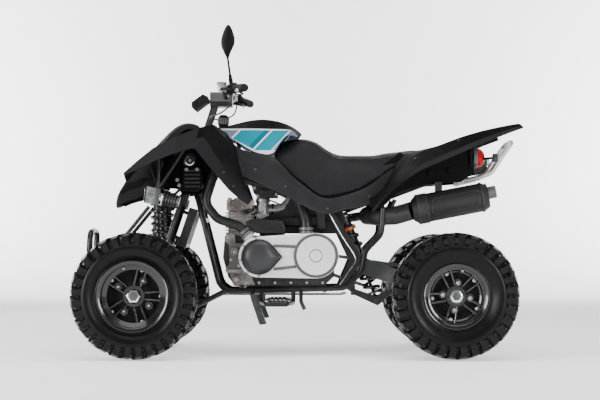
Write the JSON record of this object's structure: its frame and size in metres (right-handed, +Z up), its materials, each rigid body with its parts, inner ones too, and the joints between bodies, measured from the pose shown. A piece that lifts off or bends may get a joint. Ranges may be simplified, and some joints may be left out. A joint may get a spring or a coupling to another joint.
{
  "type": "quad bike",
  "caption": "Sport quad bike with knobbly tyres, angular black bodywork, a single saddle, handlebar steering and a belt-drive engine open to view.",
  "frame": {"origin": "on the ground below the middle of the vehicle's overall length and width", "axes": "+X to the rear, +Y to the rider's right, +Z up"},
  "size_m": [1.7984, 1.08, 1.353],
  "materials": {
    "body_plastic": "satin moulded black",
    "frame_paint": "satin black powder coat",
    "tyre": "matte black rubber",
    "rim_paint": "gloss black",
    "vinyl": "grained black vinyl",
    "cast_alloy": "as cast",
    "cover_alloy": "brushed and lacquered",
    "cap_plastic": "satin dark grey",
    "steel": "plain",
    "chrome": "polished",
    "exhaust_paint": "matt heat-proof black",
    "spring_paint": "gloss black",
    "rubber": "matte",
    "tank_graphic": "black with teal, white and grey stripes",
    "red_lens": "clear red",
    "core_grey": "satin grey"
  },
  "bodies": {
    "root": {"lower_frame": "frame_paint", "upper_frame": "frame_paint", "front_frame": "frame_paint", "front_bumper": "frame_paint", "skid_plate": "cover_alloy", "suspension_arms": "frame_paint", "front_shocks": "steel", "front_springs": "spring_paint", "radiator": "core_grey", "crankcase": "cast_alloy", "cylinder": "cast_alloy", "belt_cover": "cover_alloy", "variator_cap": "cap_plastic", "cooling_ducts": "rubber", "carburettor": "cast_alloy", "airbox": "body_plastic", "exhaust_pipe": "exhaust_paint", "silencer": "exhaust_paint", "swingarm": "cast_alloy", "shock_linkage": "cast_alloy", "rear_shock": "steel", "rear_spring": "spring_paint", "footrests": "frame_paint", "front_fender": "body_plastic", "nose_cowl": "body_plastic", "tank_cover": "tank_graphic", "fuel_cap": "body_plastic", "side_panels": "body_plastic", "seat": "vinyl", "rear_fender": "body_plastic", "tail_lamps": "red_lens", "tail_stays": "body_plastic", "tail_bracket": "frame_paint", "grab_bar": "chrome", "headlamps": "body_plastic", "drive_chain": "steel", "battery_tray": "body_plastic"},
    "steering": {"steering_stem": "frame_paint", "handlebar": "frame_paint", "grips": "rubber", "controls": "cast_alloy", "instrument_pod": "body_plastic", "mirror": "body_plastic", "left_cable": "rubber", "right_cable": "rubber"},
    "knuckle_left": {"knuckle_left": "cast_alloy"},
    "knuckle_right": {"knuckle_right": "cast_alloy"},
    "tie_rod_left": {"tie_rod_left": "steel"},
    "tie_rod_right": {"tie_rod_right": "steel"},
    "front_wheel_left": {"front_tyre_left": "tyre", "front_rim_left": "rim_paint", "front_hub_left": "chrome"},
    "front_wheel_right": {"front_tyre_right": "tyre", "front_rim_right": "rim_paint", "front_hub_right": "chrome"},
    "rear_axle": {"rear_axle": "steel", "rear_tyre_left": "tyre", "rear_tyre_right": "tyre", "rear_rim_left": "rim_paint", "rear_rim_right": "rim_paint"}
  },
  "joints": [
    {"name": "steer", "type": "hinge", "parent": "root", "child": "steering", "pos_m": [-0.6, 0, 0.29], "axis": [0.3162, 0, 0.9487], "range_deg": [-32, 32]},
    {"name": "rear_axle_spin", "type": "hinge", "parent": "root", "child": "rear_axle", "pos_m": [0.622, 0, 0.25], "axis": [0, 1, 0], "continuous": true},
    {"name": "knuckle_left_turn", "type": "hinge", "parent": "root", "child": "knuckle_left", "pos_m": [-0.648, -0.39, 0.25], "axis": [0.1392, 0, 0.9903], "range_deg": [-32, 32]},
    {"name": "tie_rod_left_swing", "type": "hinge", "parent": "steering", "child": "tie_rod_left", "pos_m": [-0.65155, -0.016, 0.3251], "axis": [0.3162, 0, 0.9487], "range_deg": [-33.25, 33.25]},
    {"name": "front_wheel_left_spin", "type": "hinge", "parent": "knuckle_left", "child": "front_wheel_left", "pos_m": [-0.648, -0.44, 0.25], "axis": [0, 1, 0], "continuous": true},
    {"name": "knuckle_right_turn", "type": "hinge", "parent": "root", "child": "knuckle_right", "pos_m": [-0.648, 0.39, 0.25], "axis": [0.1392, 0, 0.9903], "range_deg": [-32, 32]},
    {"name": "tie_rod_right_swing", "type": "hinge", "parent": "steering", "child": "tie_rod_right", "pos_m": [-0.65155, 0.016, 0.3251], "axis": [0.3162, 0, 0.9487], "range_deg": [-33.25, 33.25]},
    {"name": "front_wheel_right_spin", "type": "hinge", "parent": "knuckle_right", "child": "front_wheel_right", "pos_m": [-0.648, 0.44, 0.25], "axis": [0, 1, 0], "continuous": true}
  ],
  "couplings": [
    {"joint": "knuckle_left_turn", "follows": "steer", "ratio": 1},
    {"joint": "tie_rod_left_swing", "follows": "steer", "ratio": -1.039},
    {"joint": "knuckle_right_turn", "follows": "steer", "ratio": 1},
    {"joint": "tie_rod_right_swing", "follows": "steer", "ratio": -1.039}
  ]
}
